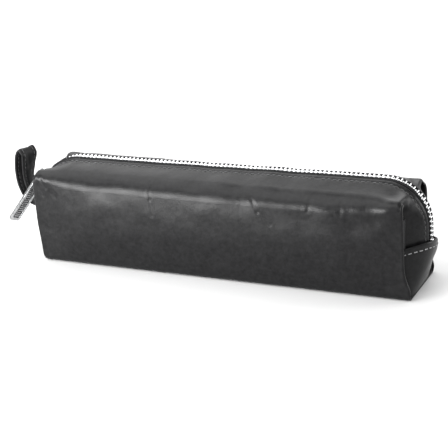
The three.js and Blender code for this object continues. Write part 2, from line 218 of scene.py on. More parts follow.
def sheet_arrays(outer, normal, near, far, cut):
    """Points, faces and loop normals of a sheet under a grid of outer points."""
    nu, nv = outer.shape[:2]
    near = np.broadcast_to(near, (nu, nv))[..., None]
    far = np.broadcast_to(far, (nu, nv))[..., None]
    top, bottom = outer - normal * near, outer - normal * far
    index = np.arange(nu * nv).reshape(nu, nv)
    quads = np.stack([index[:-1, :-1], index[1:, :-1], index[1:, 1:], index[:-1, 1:]], -1).reshape(-1, 4)
    rim = [(i, 0) for i in range(nu)] + [(nu - 1, j) for j in range(1, nv)]
    rim += [(i, nv - 1) for i in range(nu - 2, -1, -1)] + [(0, j) for j in range(nv - 2, 0, -1)]
    bulges = []
    for i, j in rim:
        way = np.zeros(3)
        on_cut = False
        for edge, here, inner in (("u0", i == 0, (1, j)), ("u1", i == nu - 1, (nu - 2, j)),
                                  ("v0", j == 0, (i, 1)), ("v1", j == nv - 1, (i, nv - 2))):
            if here and edge in cut:
                way += unit(outer[i, j] - outer[inner])
                on_cut = True
        bulges.append(unit(way) * float(far[i, j, 0] - near[i, j, 0]) / 2 if on_cut else way)
    rim_i, rim_j = np.array(rim).T
    bulges = np.array(bulges)
    heart = (top + bottom)[rim_i, rim_j] / 2
    arm = top[rim_i, rim_j] - heart
    rings = [index[rim_i, rim_j]]
    points = [top.reshape(-1, 3), bottom.reshape(-1, 3)]
    count = 2 * nu * nv
    for turn in range(1, RIM_TURNS):
        angle = math.pi * turn / RIM_TURNS
        points.append(heart + arm * math.cos(angle) + bulges * math.sin(angle))
        rings.append(np.arange(count, count + len(rim)))
        count += len(rim)
    rings.append(index[rim_i, rim_j] + nu * nv)
    faces = [quads, quads[:, ::-1] + nu * nv]
    for first, second in zip(rings[:-1], rings[1:]):
        faces.append(np.stack([first, second, np.roll(second, -1), np.roll(first, -1)], -1))
    return np.concatenate(points), np.concatenate(faces), quads


def make_sheet(name, surface, us, vs, depth, material, cut="", exact=False):
    """A sheet from depth[0] to depth[1] under surface(u, v). Edges named in cut are rounded.

    exact gives the outer face the surface's normals."""
    u, v = np.meshgrid(us, vs, indexing="ij")
    outer, normal = surface(u, v), normals_of(surface, u, v)
    sign = outward_sign(outer, normal)
    points, faces, quads = sheet_arrays(outer, normal * sign, depth[0], depth[1], cut)
    loop_normals = None
    if sign < 0:
        faces = faces[:, ::-1]
        quads = quads[:, ::-1]
    if exact:
        loop_normals = np.zeros((faces.size, 3))
        flat_normals = (normal * sign).reshape(-1, 3)
        loop_normals[:quads.size] = flat_normals[quads.ravel()]
    return new_object(name, points, faces.tolist(), material, loop_normals)


def ring_of(width, height, corners=10, squareness=4.0):
    """A rounded rectangle round the origin as (corners, 2)."""
    turn = np.arange(corners) * 2 * np.pi / corners + np.pi / corners
    c, s = np.cos(turn), np.sin(turn)
    reach = (np.abs(c) ** squareness + np.abs(s) ** squareness) ** (-1 / squareness)
    return np.stack([c * reach * width, s * reach * height], -1)


def add_tube(parts, path, side_ways, up_ways, widths, heights, corners=8, squareness=2.0):
    """A tube along path, with its section's two half sizes at each point."""
    rings = []
    for point, side_way, up_way, width, height in zip(path, side_ways, up_ways, widths, heights):
        section = ring_of(width, height, corners, squareness)
        rings.append(point + section[:, :1] * side_way + section[:, 1:] * up_way)
    parts.loft(np.array(rings))


# ---- The leather's shape

# Creases of the front wall: from (x, z) to (x, z), half width, depth.
WALL_CREASES = [
    (-34.4, 50.0, -33.4, 42.0, 0.9, 0.07), (-33.4, 42.0, -32.2, 33.5, 0.9, 0.09),
    (24.6, 47.0, 28.2, 40.8, 0.9, 0.10), (28.2, 40.8, 35.2, 34.8, 0.9, 0.08),
    (56.0, 48.4, 55.4, 43.6, 1.0, 0.08), (72.7, 48.4, 72.3, 43.0, 1.0, 0.08),
    (-101.5, 49.0, -98.0, 43.0, 1.0, 0.16), (-98.5, 48.5, -96.0, 45.0, 1.0, 0.12),
    (-97.5, 44.0, -92.0, 38.5, 1.3, 0.12), (-102.5, 44.0, -100.5, 38.5, 1.0, 0.10),
    (86.0, 47.0, 89.0, 42.5, 3.0, 0.20), (89.0, 42.5, 92.5, 41.0, 2.8, 0.14),
]
# Broad swellings and hollows of the front wall: x, z, half width, half height, rise.
WALL_SWELLS = [
    (97.0, 44.0, 4.0, 6.0, 0.5), (80.0, 38.0, 9.0, 5.0, -0.5), (-96.0, 30.0, 8.0, 10.0, -0.4),
    (-44.0, 41.0, 8.0, 4.0, 0.2), (-2.0, 39.0, 7.0, 5.0, 0.2), (46.0, 40.0, 9.0, 6.0, -0.35),
    (64.0, 43.0, 6.0, 5.0, 0.25), (-66.0, 37.0, 8.0, 5.0, 0.15),
]


def wall_bulge(points):
    x, y, z = np.moveaxis(points, -1, 0)
    upright = np.sin(np.pi * np.clip(z / (CORNER_Z - 1), 0, 1)) ** 1.15
    return BULGE * upright * smooth(np.abs(y), 14, 20) * (1 - smooth(np.abs(x), 70, 104))


def crease_relief(points, creases):
    x, _, z = np.moveaxis(points, -1, 0)
    total = np.zeros(x.shape)
    for x0, z0, x1, z1, width, depth in creases:
        way = np.array([x1 - x0, z1 - z0])
        t = np.clip(((x - x0) * way[0] + (z - z0) * way[1]) / (way @ way), 0, 1)
        away = np.hypot(x - x0 - t * way[0], z - z0 - t * way[1])
        total -= depth * (np.exp(-(away / width) ** 2) - 0.35 * np.exp(-((away - 2 * width) / width) ** 2))
    return total


def leather_relief(points):
    """How far the leather stands out from its plain shape at each point."""
    x, y, z = np.moveaxis(points, -1, 0)
    free = smooth(z, 0.5, 7) * (1 - smooth(np.abs(x), 103.2, 105))
    front = smooth(-y, 15, 18) * free
    back = smooth(y, 15, 18) * free
    mirrored = points * np.array([-1, 1, 1])
    relief = wall_bulge(points)
    relief += free * (0.09 * ripple(points, 3, 19) + 0.015 * ripple(points, 4, 7.5))
    relief += front * crease_relief(points, WALL_CREASES)
    relief += back * 0.8 * crease_relief(mirrored, WALL_CREASES)
    for x0, z0, half_x, half_z, rise in WALL_SWELLS:
        relief += front * rise * np.exp(-((x - x0) / half_x) ** 2 - ((z - z0) / half_z) ** 2)
        relief += back * rise * np.exp(-((x + x0) / half_x) ** 2 - ((z - z0) / half_z) ** 2)
    pinch = smooth(np.abs(x), 84, 100) * smooth(z, 34, 44) * free
    relief += 0.10 * pinch * ripple(points * np.array([1.0, 0.6, 0.5]), 8, 6.0)
    return relief


def raised(base):
    """base(u, v) with the leather's relief, along its own normal."""
    def surface(u, v):
        points, normal = base(u, v), normals_of(base, u, v)
        return points + normal * outward_sign(points, normal) * leather_relief(points)[..., None]
    return surface


# Panel: the section runs from the front ridge (0) over the wall and base to the back (10).
SECTION_ROWS = [6, 14, 52, 10, 18]


def end_shift(u, z):
    """How far the wall's end stands out or in at height z; u < 0 is the left end."""
    right = TOE_REACH * (1 - smooth(z, 1, 12)) - PLEAT_LEAN * smooth(z, 3, 17)
    foot = np.clip(1 - z / LEFT_TOE, 0, 1)
    left = -LEFT_LEAN * (1 - smooth(z, LEFT_TOE, 25)) - LEFT_TOE_DRAW * (1 - np.sqrt(1 - foot ** 2))
    return np.where(u < 0, left, right) * smooth(np.abs(u), 90, 104)


def slope_at(x):
    return SLOPE * mix(1, 0.5, smooth(x, 86, 104))


def corner_z(x):
    turn = np.clip((x - EAR_START) / EAR_TURN, 0, 1)
    return CORNER_Z + 0.5 * smooth(x, 84, 100) - EAR_TURN * (1 - np.sqrt(1 - turn ** 2))


def edge_y(x):
    return mix(HINGE_Y, EAR_Y, smooth(x, BEND_END, EAR_START + 1))


def edge_z(x):
    return corner_z(x) + (WALL_Y - edge_y(x)) * np.tan(slope_at(x))


def panel_section(x, p):
    """y and z of the panel's half section at x >= 0, with p from 0 at the flap to 5."""
    radius = mix(RIDGE_RADIUS, EAR_RADIUS, smooth(x, 84, 104))
    slope, top = slope_at(x), corner_z(x)
    turn = np.pi / 2 - slope
    reach = radius * np.tan(turn / 2)
    ridge_y, ridge_z = WALL_Y - reach * np.cos(slope), top + reach * np.sin(slope)
    wall_z = top - reach
    ridge_angle = np.pi / 2 - slope - turn * np.clip(p - 1, 0, 1)
    base_angle = np.pi / 2 * np.clip(p - 3, 0, 1)
    base_y = WALL_Y - BASE_RADIUS
    y = np.select([p < 1, p < 2, p < 3, p < 4], [
        mix(edge_y(x), ridge_y, p), WALL_Y - radius + radius * np.cos(ridge_angle),
        WALL_Y + 0 * x, base_y + BASE_RADIUS * np.cos(base_angle)], base_y * (5 - p))
    z = np.select([p < 1, p < 2, p < 3, p < 4], [
        mix(edge_z(x), ridge_z, p), wall_z + radius * np.sin(ridge_angle),
        mix(wall_z, BASE_RADIUS, p - 2), BASE_RADIUS * (1 - np.sin(base_angle))], 0)
    return y, z


def panel_base(u, p):
    u, p = np.broadcast_arrays(np.asarray(u, float), np.asarray(p, float))
    half = np.where(p > 5, 10 - p, p)
    front = np.where(p > 5, 1, -1)
    x = np.minimum(np.abs(u), ROLL_X)
    y, z = panel_section(x, half)
    step = 1e-3
    y_next, z_next = panel_section(x, half + step)
    y_back, z_back = panel_section(x, half - step)
    across = unit(np.stack([y_back - y_next, z_back - z_next], -1))
    out_y, out_z = across[..., 1], -across[..., 0]
    radius = ROLL_RADIUS * mix(0.35, 1, smooth(z, 0, 7)) * mix(1, 0.55, smooth(z, 43, CORNER_Z))
    angle = np.clip(np.abs(u) - ROLL_X, 0, None) / ROLL_RADIUS
    x = x + radius * np.sin(angle)
    x = x + end_shift(u, z)
    y = y - out_y * radius * (1 - np.cos(angle))
    z = z - out_z * radius * (1 - np.cos(angle))
    return stack(np.sign(u) * x, front * y, z)


# Flaps: s runs along the zip from the case's middle, v from the zip to the ridge.


def zip_arc(s):
    """How far s is from the middle, its end's arc radius and where that arc starts."""
    radius = np.where(np.asarray(s) < 0, LEFT_ARC_RADIUS, RIGHT_ARC_RADIUS)
    return np.abs(s), radius, ZIP_END_X - radius


def zip_place(s, lift=0.0):
    """x and z on the chain's path at s, lift above its middle plane."""
    away, radius, corner = zip_arc(s)
    angle = np.clip((away - corner) / radius, 0, np.pi / 2)
    drop = np.clip(away - corner - radius * np.pi / 2, 0, None)
    x = np.minimum(away, corner) + (radius + lift) * np.sin(angle)
    middle_z = ZIP_TOP - radius + mix(SAG, RISE, smooth(s, -70, 90))
    return np.sign(s) * x, middle_z + (radius + lift) * np.cos(angle) - drop


def zip_ways(s):
    """The chain's direction and its outward direction at s."""
    away, radius, corner = zip_arc(s)
    angle = np.sign(s) * np.clip((away - corner) / radius, 0, np.pi / 2)
    return stack(np.cos(angle), 0, -np.sin(angle)), stack(np.sin(angle), 0, np.cos(angle))


def flap_ends(s):
    """The flap's edge points at the zip and at the ridge or the crease, on the +x +y side."""
    away = np.abs(s)
    zip_x, zip_z = zip_place(s, LEATHER_LIFT)
    turn = np.clip((away - EAR_START) / EAR_TURN, 0, np.pi / 2)
    x = np.minimum(away, EAR_START) + EAR_TURN * np.sin(turn)
    drop = np.clip(away - EAR_START - EAR_TURN * np.pi / 2, 0, None)
    sunk = smooth(drop, 0, 4)
    y = mix(edge_y(x), CREASE_Y, sunk)
    ridge_z = edge_z(x) - drop
    ridge = stack(mix(x, CREASE_X, sunk) + end_shift(s, ridge_z), y, ridge_z)
    return stack(np.abs(zip_x), ZIP_OPENING, zip_z), ridge, smooth(drop, 0, 6)


def flap_base(side):
    def surface(s, v):
        s, v = np.broadcast_arrays(np.asarray(s, float), np.asarray(v, float))
        near, far, sunk = flap_ends(s)
        _, outward = zip_ways(s)
        outward = outward * stack(np.where(s < 0, -1, 1), 1, 1)
        level = np.array([0, 1.0, 0])
        at_zip = level * math.cos(SLOPE) - outward * math.sin(SLOPE)
        slope = slope_at(np.minimum(np.abs(s), 105))
        at_ridge = stack(0, np.cos(slope), -np.sin(slope))
        at_ridge = unit(mix(at_ridge, np.array([-0.86, 0.5, 0.05]), sunk[..., None]))
        reach = np.linalg.norm(far - near, axis=-1, keepdims=True)
        first, second = near + at_zip * reach / 3, far - at_ridge * reach * mix(1 / 3, 0.36, sunk[..., None])
        t = v[..., None]
        ends = near * (1 - t) ** 3 + far * t ** 3
        point = ends + 3 * first * t * (1 - t) ** 2 + 3 * second * t * t * (1 - t)
        return point * stack(np.where(s < 0, -1, 1), side, 1)
    return surface


def flap_width(s):
    near, far, _ = flap_ends(s)
    return np.linalg.norm(far - near, axis=-1)


def flap_surface(side, sewn=True):
    plain = raised(flap_base(side))

    def surface(s, v):
        point = plain(s, v)
        if not sewn:
            return point
        outward = normals_of(flap_base(side), s, v)
        sign = np.where(outward[..., 2:] + 0.4 * np.sign(point[..., :1]) * outward[..., :1] > 0, 1, -1)
        away = v * flap_width(s) - STITCH_INSET
        phase = np.cos(2 * np.pi * s / STITCH_PITCH)
        groove = 0.26 * np.exp(-(away / 0.55) ** 2) * (0.65 - 0.35 * phase)
        puff = 0.10 * np.exp(-((away + 1.6) / 0.9) ** 2) * (0.7 + 0.3 * phase)
        return point + outward * sign * (puff - groove)[..., None]
    return surface


# ---- Materials


class Graph:
    """A material's nodes, made in few words. Coordinates are in millimetres."""

    def __init__(self, name):
        self.material = bpy.data.materials.new(name)
        self.material.use_nodes = True
        self.tree = self.material.node_tree
        self.tree.nodes.clear()
        self.shader = self.node("ShaderNodeBsdfPrincipled")
        output = self.node("ShaderNodeOutputMaterial")
        self.link(self.shader.outputs[0], output.inputs["Surface"])
        place = self.node("ShaderNodeTexCoord")
        scale = self.node("ShaderNodeVectorMath", operation="SCALE")
        scale.inputs["Scale"].default_value = 1 / MM
        self.link(place.outputs["Object"], scale.inputs[0])
        self.place = scale.outputs[0]

    def node(self, kind, **settings):
        made = self.tree.nodes.new(kind)
        for key, value in settings.items():
            setattr(made, key, value)
        return made

    def link(self, source, target):
        self.tree.links.new(source, target)

    def stretched(self, scale):
        made = self.node("ShaderNodeMapping")
        made.inputs["Scale"].default_value = scale
        self.link(self.place, made.inputs["Vector"])
        return made.outputs[0]

    def noise(self, scale, detail=3.0, roughness=0.5, distortion=0.0, place=None):
        made = self.node("ShaderNodeTexNoise")
        made.inputs["Scale"].default_value = scale
        made.inputs["Detail"].default_value = detail
        made.inputs["Roughness"].default_value = roughness
        made.inputs["Distortion"].default_value = distortion
        self.link(place or self.place, made.inputs["Vector"])
        return made.outputs["Fac"]

    def cells(self, scale):
        made = self.node("ShaderNodeTexVoronoi")
        made.inputs["Scale"].default_value = scale
        self.link(self.place, made.inputs["Vector"])
        return made.outputs["Distance"]

    def bands(self, scale, direction, distortion=0.0):
        made = self.node("ShaderNodeTexWave", wave_type="BANDS", bands_direction=direction)
        made.inputs["Scale"].default_value = scale
        made.inputs["Distortion"].default_value = distortion
        self.link(self.place, made.inputs["Vector"])
        return made.outputs["Fac"]

    def maths(self, operation, first, second):
        made = self.node("ShaderNodeMath", operation=operation)
        for socket, value in zip(made.inputs, (first, second)):
            if isinstance(value, (int, float)):
                socket.default_value = value
            else:
                self.link(value, socket)
        return made.outputs[0]

    def ranged(self, source, low, high, to_low, to_high):
        made = self.node("ShaderNodeMapRange")
        for key, value in (("From Min", low), ("From Max", high), ("To Min", to_low), ("To Max", to_high)):
            made.inputs[key].default_value = value
        self.link(source, made.inputs["Value"])
        return made.outputs[0]

    def ramp(self, source, stops):
        made = self.node("ShaderNodeValToRGB")
        elements = made.color_ramp.elements
        while len(elements) < len(stops):
            elements.new(0.5)
        for element, (position, shade) in zip(elements, stops):
            element.position = position
            element.color = (*shade, 1)
        self.link(source, made.inputs["Fac"])
        return made.outputs["Color"]

    def bump(self, height, distance, strength=1.0, below=None):
        made = self.node("ShaderNodeBump")
        made.inputs["Strength"].default_value = strength
        made.inputs["Distance"].default_value = distance * MM
        self.link(height, made.inputs["Height"])
        if below is not None:
            self.link(below, made.inputs["Normal"])
        return made.outputs["Normal"]

    def finish(self, color, roughness, normal, **values):
        self.link(color, self.shader.inputs["Base Color"])
        self.link(roughness, self.shader.inputs["Roughness"])
        self.link(normal, self.shader.inputs["Normal"])
        for key, value in values.items():
            self.shader.inputs[key.replace("_", " ")].default_value = value
        return self.material


def leather_material(name, dark, light, rough_low, rough_high, grain=0.035):
    g = Graph(name)
    clouds = g.noise(0.09, 4, 0.55)
    mottle = g.noise(0.42, 5, 0.6, 0.4)
    color = g.ramp(mottle, [(0.3, dark), (0.7, light)])
    pores = g.cells(1.9)
    fine = g.noise(3.4, 5, 0.65)
    creases = g.noise(0.75, 6, 0.62, 1.1, g.stretched((0.55, 1.0, 1.25)))
    roughness = g.ranged(g.maths("ADD", clouds, mottle), 0.7, 1.3, rough_low, rough_high)
    normal = g.bump(clouds, 0.5, 0.5)
    normal = g.bump(creases, 0.08, 0.22, normal)
    normal = g.bump(g.maths("ADD", pores, fine), grain, 0.7, normal)
    return g.finish(color, roughness, normal, IOR=1.5, Specular_IOR_Level=0.16)


def cloth_material(name, dark, light, threads, depth):
    g = Graph(name)
    weave = g.maths("MULTIPLY", g.bands(threads, "X", 0.3), g.bands(threads * 0.8, "DIAGONAL", 0.3))
    fuzz = g.noise(2.5, 4, 0.6)
    color = g.ramp(g.maths("ADD", weave, fuzz), [(0.2, dark), (0.9, light)])
    roughness = g.ranged(fuzz, 0.3, 0.7, 0.82, 0.95)
    normal = g.bump(g.maths("ADD", weave, g.maths("MULTIPLY", fuzz, 0.4)), depth, 0.8)
    return g.finish(color, roughness, normal, Specular_IOR_Level=0.25)


def metal_material(name, dark, light, rough_low, rough_high):
    g = Graph(name)
    tarnish = g.noise(0.55, 5, 0.6)
    scratches = g.noise(1.6, 6, 0.7, 0.2, g.stretched((0.3, 4.0, 1.0)))
    color = g.ramp(tarnish, [(0.3, dark), (0.65, light)])
    roughness = g.ranged(g.maths("ADD", tarnish, scratches), 0.7, 1.3, rough_low, rough_high)
    normal = g.bump(scratches, 0.01, 0.5)
    return g.finish(color, roughness, normal, Metallic=1.0)


def thread_material(name, dark, light):
    g = Graph(name)
    twist = g.bands(0.9, "DIAGONAL", 0.6)
    color = g.ramp(g.maths("ADD", twist, g.noise(1.3)), [(0.3, dark), (1.0, light)])
    roughness = g.ranged(twist, 0, 1, 0.5, 0.72)
    return g.finish(color, roughness, g.bump(twist, 0.08, 0.8), Specular_IOR_Level=0.35)


LEATHER_SKIN = leather_material(
    "black_leather", (0.004, 0.004, 0.0043), (0.0105, 0.0105, 0.011), 0.28, 0.39, 0.022)
LOOP_SKIN = leather_material(
    "loop_leather", (0.006, 0.006, 0.0065), (0.014, 0.014, 0.0145), 0.38, 0.5, 0.05)
TAPE_CLOTH = cloth_material("zip_tape", (0.003, 0.003, 0.003), (0.011, 0.011, 0.012), 0.55, 0.10)
LINING_CLOTH = cloth_material("lining", (0.006, 0.006, 0.0065), (0.02, 0.02, 0.021), 0.42, 0.12)
NICKEL = metal_material("nickel", (0.33, 0.335, 0.34), (0.54, 0.545, 0.55), 0.2, 0.34)
# A darker copy of the nickel for the pull's recess floor: painted shade in the recess.
PAINTED_SHADE_NICKEL = metal_material("shaded_nickel", (0.05, 0.05, 0.052), (0.14, 0.14, 0.143), 0.3, 0.5)
TOOTH_METAL = metal_material("tooth_metal", (0.72, 0.725, 0.73), (0.93, 0.935, 0.94), 0.26, 0.4)
DARK_THREAD = thread_material("dark_thread", (0.012, 0.012, 0.012), (0.075, 0.075, 0.077))
SEAM_THREAD = thread_material("seam_thread", (0.09, 0.09, 0.092), (0.3, 0.3, 0.305))

# ---- Wrapped panel, its lining and the end linings


def section_rows():
    half = []
    for segment, rows in enumerate(SECTION_ROWS):
        half += [segment + row / rows for row in range(rows)]
    return np.array(half + [5] + [10 - p for p in reversed(half)])


def make_panel():
    middle = np.linspace(-ROLL_X, ROLL_X, 311)
    roll = ROLL_X + ROLL_RADIUS * ROLL_ANGLE * np.arange(1, 15) / 14
    us = np.concatenate([-roll[::-1], middle, roll])
    ps = section_rows()
    rolled = smooth(np.abs(us), ROLL_X - 1, ROLL_X + 0.6)
    thickness = np.broadcast_to(mix(LEATHER, 0.3, rolled)[:, None], (len(us), len(ps)))
    panel = make_sheet("wrapped_panel", raised(panel_base), us, ps, (0, thickness), LEATHER_SKIN, exact=True)
    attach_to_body(panel, "case")
    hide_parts("body_panel")


LINING_INSET = 2.6                    # from the panel's ends
BODY_LINING_DEPTH = (1.55, 2.05)      # below the leather's face
FLAP_LINING_DEPTH = (2.35, 2.8)


def make_linings():
    reach = PANEL_HALF - LINING_INSET
    us = np.linspace(-reach, reach, 141)
    ps = section_rows()
    ps = ps[(ps > 1.7) & (ps < 8.3)][::2]
    lining = make_sheet("body_lining_cloth", raised(panel_base), us, ps, BODY_LINING_DEPTH,
                        LINING_CLOTH, "v0 v1")
    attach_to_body(lining, "case")
    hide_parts("body_lining")
    for end, way in (("left", -1), ("right", 1)):
        low, high = node_box(f"{end}_end_lining")

        def bowed(a, b, way=way, low=low, high=high):
            reach = (1 - a ** 2) * np.sin(np.pi * np.clip(b, 0, 1))
            x = (low[0] + high[0]) / 2 + way * (0.25 - 0.5 * reach)
            return stack(x, a * high[1], mix(low[2], high[2], b))
        panel = make_sheet(f"{end}_end_lining_cloth", bowed, np.linspace(-1, 1, 31), np.linspace(0, 1, 31),
                           (-0.05, 0.4), LINING_CLOTH, "u0 u1 v0 v1")
        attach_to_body(panel, "case")
        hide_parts(f"{end}_end_lining")


# ---- Zip flaps with their tapes, cords, linings, teeth and stitches

ZONES = [("left_end", -LEFT_END, -BEND_END), ("left_bend", -BEND_END, -LIP_HALF),
         ("middle", -LIP_HALF, LIP_HALF), ("right_bend", LIP_HALF, BEND_END),
         ("right_end", BEND_END, RIGHT_END)]
SIDES = [("front", -1), ("back", 1)]


def attach(piece, side_name, zone):
    """Ends stay with the case, the middle opens with its lip, and the bends are baked in place without a
    parent.
    """
    lip = f"{side_name}_lip"
    if zone.endswith("_end"):
        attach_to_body(piece, "case")
    elif zone == "middle":
        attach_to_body(piece, lip)
    else:
        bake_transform(piece)


def stands_for(side_name, zone, kind):
    if zone == "middle":
        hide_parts(f"{side_name}_{kind}")
    elif zone.endswith("_end"):
        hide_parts(f"{zone.split('_')[0]}_{side_name}_end_{kind}")


def stations(start, end, step):
    return np.linspace(start, end, max(2, round((end - start) / step)) + 1)


def make_flaps():
    rows = np.concatenate([np.linspace(0, 0.42, 17), np.linspace(0.42, 1, 19)[1:]])
    for side_name, side in SIDES:
        surface = flap_surface(side)
        for zone, start, end in ZONES:
            cut = {"left_end": "v0 u0", "right_end": "v0 u1"}.get(zone, "v0")
            step = 0.55 if zone.endswith("_end") else 0.7
            flap = make_sheet(f"{side_name}_flap_{zone}", surface, stations(start, end, step), rows,
                              (0, LEATHER), LEATHER_SKIN, cut, exact=True)
            attach(flap, side_name, zone)
            stands_for(side_name, zone, "flap")


TAPE_INNER_Y, TAPE_OUTER_Y = 2.35, 11.7
TAPE_DEPTH = (-0.22, 0.22)
CORD_Y, CORD_RADIUS = 2.3, 0.52       # of the bead on the tape's edge


def tape_surface(side):
    base = flap_surface(side, sewn=False)

    def surface(s, w):
        y = mix(TAPE_INNER_Y, TAPE_OUTER_Y, w)
        v = (y - ZIP_OPENING) / (HINGE_Y - ZIP_OPENING)
        point = base(s, v)
        normal = normals_of(base, s, v)
        normal = normal * np.sign(np.sum(normal * (point * np.array([0.4, 1, 0.5])), -1, keepdims=True))
        depth = mix(LEATHER_LIFT, LEATHER + 0.55, smooth(y, 2.7, 4.3))
        return point - normal * depth[..., None]
    return surface


def make_tapes():
    rows = np.concatenate([np.linspace(0, 0.2, 9), np.linspace(0.2, 1, 9)[1:]])
    for side_name, side in SIDES:
        for zone, start, end in ZONES:
            if zone == "left_end":
                start = start + 1
            tape = make_sheet(f"{side_name}_tape_{zone}", tape_surface(side), stations(start, end, 1.4), rows,
                              TAPE_DEPTH, TAPE_CLOTH, "v0 v1")
            attach(tape, side_name, zone)
            stands_for(side_name, zone, "tape")


def make_flap_linings():
    for side_name, side in SIDES:
        for zone, start, end in ZONES[1:4]:
            lining = make_sheet(f"{side_name}_flap_lining_{zone}", flap_surface(side, sewn=False),
                                stations(start, end, 1.5), np.linspace(0.3, 0.94, 12), FLAP_LINING_DEPTH,
                                LINING_CLOTH, "v0 v1")
            attach(lining, side_name, zone)
            if zone == "middle":
                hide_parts(f"{side_name}_flap_lining")


# A tooth from its head, past the middle, to its legs on the cord: across, half width, half height.
TOOTH_PROFILE = [(-0.85, 0.18, 0.40), (-0.74, 0.38, 0.62), (-0.45, 0.48, 0.78), (0.05, 0.48, 0.82),
                 (0.55, 0.38, 0.84), (0.95, 0.38, 0.92), (1.4, 0.48, 1.00), (2.0, 0.50, 1.02),
                 (2.3, 0.46, 0.96), (2.42, 0.3, 0.6)]


def add_tooth(parts, s, side):
    along, outward = zip_ways(s)
    x, z = zip_place(s)
    heart = stack(x, 0, z)
    across = np.array([0, float(side), 0])
    rings = []
    for reach, width, height in TOOTH_PROFILE:
        section = ring_of(width, height, 12, 3.2)
        rings.append(heart + across * reach + section[:, :1] * along + section[:, 1:] * outward)
    rings = np.array(rings)
    parts.loft(rings if side > 0 else rings[:, ::-1])


def make_chain():
    for side_name, side in SIDES:
        phase = 0 if side < 0 else TOOTH_PITCH / 2
        first = math.ceil((-ROW_END_LEFT - phase) / TOOTH_PITCH)
        last = math.floor((ROW_END_RIGHT - phase) / TOOTH_PITCH)
        places = [k * TOOTH_PITCH + phase for k in range(first, last + 1)]
        for zone, start, end in ZONES:
            teeth = Parts()
            for s in places:
                if start <= s < end:
                    add_tooth(teeth, s, side)
            row = teeth.build(f"{side_name}_teeth_{zone}", TOOTH_METAL)
            attach(row, side_name, zone)
            stands_for(side_name, zone, "teeth")
            low, high = max(start, -ROW_END_LEFT - 3), min(end, ROW_END_RIGHT + 1)
            path_s = stations(low, high, 1.4)
            x, z = zip_place(path_s)
            _, outward = zip_ways(path_s)
            cord = Parts()
            across = np.broadcast_to([0, float(side), 0], outward.shape)
            sizes = np.full(len(path_s), CORD_RADIUS)
            add_tube(cord, stack(x, side * CORD_Y, z), across, outward, sizes, sizes)
            bead = cord.build(f"{side_name}_cord_{zone}", TAPE_CLOTH)
            attach(bead, side_name, zone)


def add_thread(parts, points, normal, base, rise, radius, corners=8):
    """A thread whose ends lie at base along normal, and its middle rise above them."""
    t = np.linspace(-1, 1, len(points))
    along = unit(np.gradient(points, axis=0))
    lift = base + rise * np.sqrt(np.clip(1 - t ** 4, 0, 1))
    size = radius * np.sqrt(np.clip(1.08 - t ** 6, 0, 1))
    add_tube(parts, points + normal * lift[:, None], np.cross(along, normal), normal, size, size, corners)


def add_stitch(parts, surface, centre, way):
    """A stitch that reaches way to both sides of centre. Both are (u, v)."""
    t = np.linspace(-1, 1, 9)
    u, v = centre[0] + way[0] * t, centre[1] + way[1] * t
    points, normal = surface(u, v), normals_of(surface, u, v)
    add_thread(parts, points, normal * outward_sign(points, normal), -0.10, 0.30, THREAD_RADIUS)


def make_zip_stitches():
    for side_name, side in SIDES:
        surface = flap_surface(side)
        for zone, start, end in ZONES:
            threads = Parts()
            count = math.ceil(RIGHT_END / STITCH_PITCH)
            for k in range(-count, count):
                s = (k + 0.5) * STITCH_PITCH
                if start <= s < end - STITCH_HALF:
                    v = STITCH_INSET / float(flap_width(np.array(s)))
                    add_stitch(threads, surface, (s, v), (STITCH_HALF, 0))
            seam = threads.build(f"{side_name}_topstitch_{zone}", DARK_THREAD)
            attach(seam, side_name, zone)


# ---- End pieces

END_TOP = node_box("right_end_piece")[1][2]
END_TIP = node_box("right_end_piece")[1][0]
END_HALF = 17.5                       # half width between the creases
END_EDGE_X = 103.6
END_FOOT_X = 104.9
SEAM_BELOW = 2.6                      # stitches under the end piece's upper edge


def end_piece_surface(way):
    def surface(a, b):
        a, b = np.broadcast_arrays(np.asarray(a, float), np.asarray(b, float))
        y = END_HALF * np.sin(np.clip(a, -1.2, 1.2) * np.pi / 2)
        across = np.clip(np.abs(y) / END_HALF, 0, 1)
        upper = END_EDGE_X + (END_TIP - END_EDGE_X) * (1 - across ** 2.2) ** mix(0.72, 0.8, smooth(y, 0, 6))
        lower = END_EDGE_X + (END_FOOT_X - END_EDGE_X) * (1 - across ** 6) ** 0.5
        full = smooth(b, -0.35, 0.92)
        top = END_TOP + 0.4 - 1.8 * across ** 8 - 1.7 * smooth(y, -9, 4) - 2.4 * smooth(y, 2, 14)
        z = mix(0.5, top, b)
        x = mix(lower, upper, full) + end_shift(way * 104, z) * across ** 2
        point = stack(way * x, y, z)
        swell = 0.25 * ripple(point, 12, 15) * np.sin(np.pi * np.clip(b, 0, 1)) * (1 - across ** 4)
        seam = (top - z) - SEAM_BELOW
        swell = swell - 0.16 * np.exp(-(seam / 0.6) ** 2) + 0.14 * np.exp(-((seam + 2) / 1.1) ** 2)
        return point + stack(way * swell, 0, 0)
    return surface


def make_end_pieces():
    for end, way in (("left", -1), ("right", 1)):
        surface = end_piece_surface(way)
        piece = make_sheet(f"{end}_end_leather", surface, np.linspace(-1, 1, 73), np.linspace(0, 1, 49),
                           (0, LEATHER), LEATHER_SKIN, "v0 v1")
        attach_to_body(piece, "case")
        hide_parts(f"{end}_end_piece")
        threads = Parts()
        line = np.linspace(-0.93, 0.93, 400)
        height = 1 - SEAM_BELOW / (END_TOP - 0.5)
        path = surface(line, np.full(400, height))
        run = np.concatenate([[0], np.cumsum(np.linalg.norm(np.diff(path, axis=0), axis=1))])
        count = int(run[-1] // STITCH_PITCH)
        for k in range(count):
            centre = (k + 0.5) * run[-1] / count
            a, before, after = np.interp([centre, centre - STITCH_HALF, centre + STITCH_HALF], run, line)
            add_stitch(threads, surface, (a, height), ((after - before) / 2, 0))
        seam = threads.build(f"{end}_end_stitches", SEAM_THREAD)
        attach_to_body(seam, "case")


# ---- Stops, slider and pull


